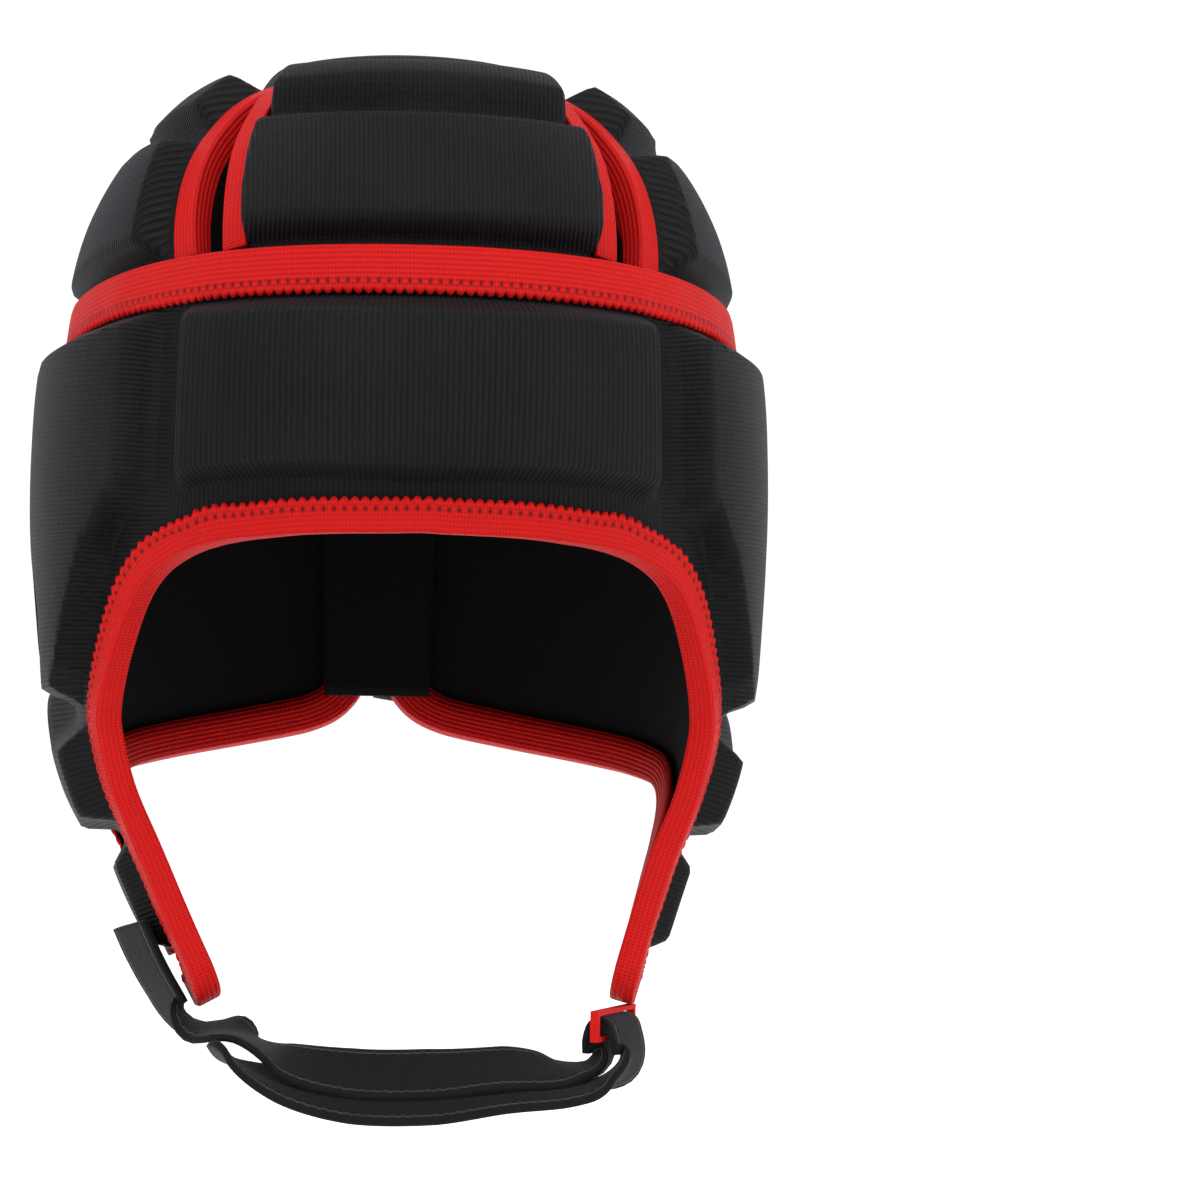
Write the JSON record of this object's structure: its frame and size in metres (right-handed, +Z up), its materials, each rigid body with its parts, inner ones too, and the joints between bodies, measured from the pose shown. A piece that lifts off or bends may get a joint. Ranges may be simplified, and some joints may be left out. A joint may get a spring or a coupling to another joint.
{
  "type": "rugby scrum cap",
  "caption": "Padded foam head guard with vented crown, ear vents, cheek flaps, taped edges, a laced rear split and a chin strap.",
  "frame": {"origin": "inside top of the crown, where the cap sits on the top of the head", "axes": "+Z up along the head, -Y the way the face looks, +X towards the wearer's left"},
  "size_m": [0.191, 0.2441, 0.2721],
  "materials": {
    "knit_pad": "ribbed stretch knit bonded over foam, matt black",
    "red_tape": "woven elastic tape, satin red",
    "strap_web": "brushed padded webbing, matt black",
    "lace_cord": "braided elastic cord, matt black"
  },
  "bodies": {
    "root": {"crown_shell": "knit_pad", "band_shell": "knit_pad", "chin_strap": "strap_web", "strap_keeper": "red_tape", "split_gusset": "knit_pad", "band_tape": "red_tape", "face_tape": "red_tape", "nape_tape_left": "red_tape", "nape_tape_right": "red_tape", "vent_tape_front_left": "red_tape", "vent_tape_front_right": "red_tape", "vent_tape_rear_left": "red_tape", "vent_tape_rear_right": "red_tape", "slot_tape": "red_tape", "split_tab": "red_tape", "lace_cross_under": "lace_cord", "lace_cross_over": "lace_cord", "lace_lower_left": "lace_cord", "lace_lower_right": "lace_cord", "lace_to_knot_left": "lace_cord", "lace_to_knot_right": "lace_cord", "lace_knot": "lace_cord", "bow_loop_left": "lace_cord", "bow_loop_right": "lace_cord", "lace_tail_left": "lace_cord", "lace_tail_right": "lace_cord"}
  },
  "joints": []
}
